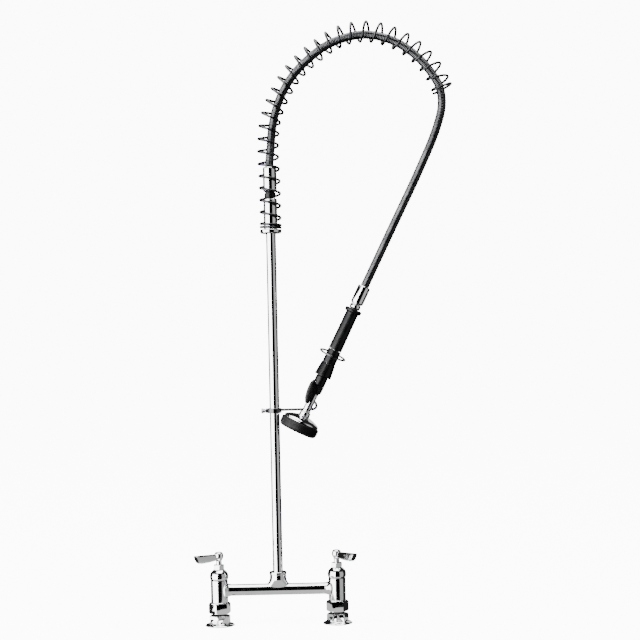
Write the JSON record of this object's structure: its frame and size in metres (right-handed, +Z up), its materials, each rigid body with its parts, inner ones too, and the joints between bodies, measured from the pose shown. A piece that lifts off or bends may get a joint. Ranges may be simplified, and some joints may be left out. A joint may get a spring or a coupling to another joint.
{
  "type": "pre rinse faucet",
  "caption": "Deck-mounted pre-rinse faucet: bridge mixing base with two lever valves, riser with a finger hook, overhead spring, flexible hose and squeeze spray valve.",
  "frame": {"origin": "on the deck, midway between the two pillars, below the riser", "axes": "+Z up along the riser, +X to the side the spring arches over, -Y towards the user"},
  "size_m": [0.4615, 0.0753, 1.0377],
  "materials": {
    "chrome": "polished",
    "brass": "machined",
    "stainless": "satin",
    "spring_steel": "polished",
    "hose_steel": "ribbed, polished",
    "black_plastic": "satin gloss",
    "black_rubber": "matt",
    "seal_rubber": "matt",
    "ceramic": "lapped"
  },
  "bodies": {
    "base": {"bridge_casting": "chrome", "hot_deck_flange": "chrome", "hot_coupling_nut": "chrome", "hot_inlet_washer": "seal_rubber", "hot_seat_seal": "seal_rubber", "hot_lower_disc": "ceramic", "hot_cartridge_sleeve": "brass", "hot_bonnet": "chrome", "hot_packing_nut": "chrome", "cold_deck_flange": "chrome", "cold_coupling_nut": "chrome", "cold_inlet_washer": "seal_rubber", "cold_seat_seal": "seal_rubber", "cold_lower_disc": "ceramic", "cold_cartridge_sleeve": "brass", "cold_bonnet": "chrome", "cold_packing_nut": "chrome", "riser_tube": "chrome", "spring_seat": "chrome", "riser_coupling": "chrome", "hose_washer": "seal_rubber", "hose_stem": "chrome", "hose_ferrule_top": "chrome", "finger_hook": "chrome", "hook_thumb_screw": "stainless", "overhead_spring": "spring_steel", "hose_in_spring": "hose_steel"},
    "hot_handle": {"hot_spindle": "brass", "hot_upper_disc": "ceramic", "hot_lever": "chrome", "hot_lever_screw": "stainless", "hot_index_button": "chrome"},
    "cold_handle": {"cold_spindle": "brass", "cold_upper_disc": "ceramic", "cold_lever": "chrome", "cold_lever_screw": "stainless", "cold_index_button": "chrome"},
    "hose_end": {"hose_drop": "hose_steel", "hose_ferrule_handle": "chrome"},
    "spray_handle": {"swivel_nut": "chrome", "swivel_washer": "seal_rubber", "handle_tube": "chrome", "grip": "black_plastic", "ring_sleeve": "black_plastic", "hand_guard": "black_plastic", "valve_body": "black_plastic", "plunger_gland": "brass", "plunger_spring": "stainless", "lever_pin": "stainless", "spray_neck": "chrome", "spray_bell": "chrome", "bumper": "black_rubber", "spray_face": "stainless", "face_screw": "stainless"},
    "trigger": {"squeeze_lever": "black_plastic"},
    "plunger": {"plunger": "stainless", "seat_washer": "seal_rubber"},
    "ring": {"hold_ring": "chrome"}
  },
  "joints": [
    {"name": "hot_lever_turn", "type": "hinge", "parent": "base", "child": "hot_handle", "pos_m": [-0.1016, 0, 0.115], "axis": [0, 0, 1], "range_deg": [-37, 53]},
    {"name": "cold_lever_turn", "type": "hinge", "parent": "base", "child": "cold_handle", "pos_m": [0.1016, 0, 0.115], "axis": [0, 0, 1], "range_deg": [-40, 50]},
    {"name": "hose_swing", "type": "hinge", "parent": "base", "child": "hose_end", "pos_m": [0.297, 0, 0.918], "axis": [-1, 0, 0], "range_deg": [0, 50], "deforming": ["hose_in_spring", "hose_drop"]},
    {"name": "handle_swivel", "type": "hinge", "parent": "hose_end", "child": "spray_handle", "pos_m": [0.14385, 0, 0.54713], "axis": [0.4431, 0, 0.8965], "continuous": true},
    {"name": "squeeze", "type": "hinge", "parent": "spray_handle", "child": "trigger", "pos_m": [0.0707, 0, 0.41763], "axis": [0, -1, 0], "range_deg": [0, 4.8], "stiffness_Nm_per_rad": 1.2, "springref_deg": -5.73},
    {"name": "plunger_slide", "type": "slide", "parent": "spray_handle", "child": "plunger", "axis": [0.8965, 0, -0.4431], "range_m": [0, 0.00125], "deforming": ["plunger_spring"]},
    {"name": "hold_ring_flip", "type": "hinge", "parent": "spray_handle", "child": "ring", "pos_m": [0.10353, 0.02248, 0.46555], "axis": [0.8965, 0, -0.4431], "range_deg": [-25, 20]}
  ],
  "couplings": [
    {"joint": "plunger_slide", "follows": "squeeze", "m_per_rad": 0.0145}
  ]
}
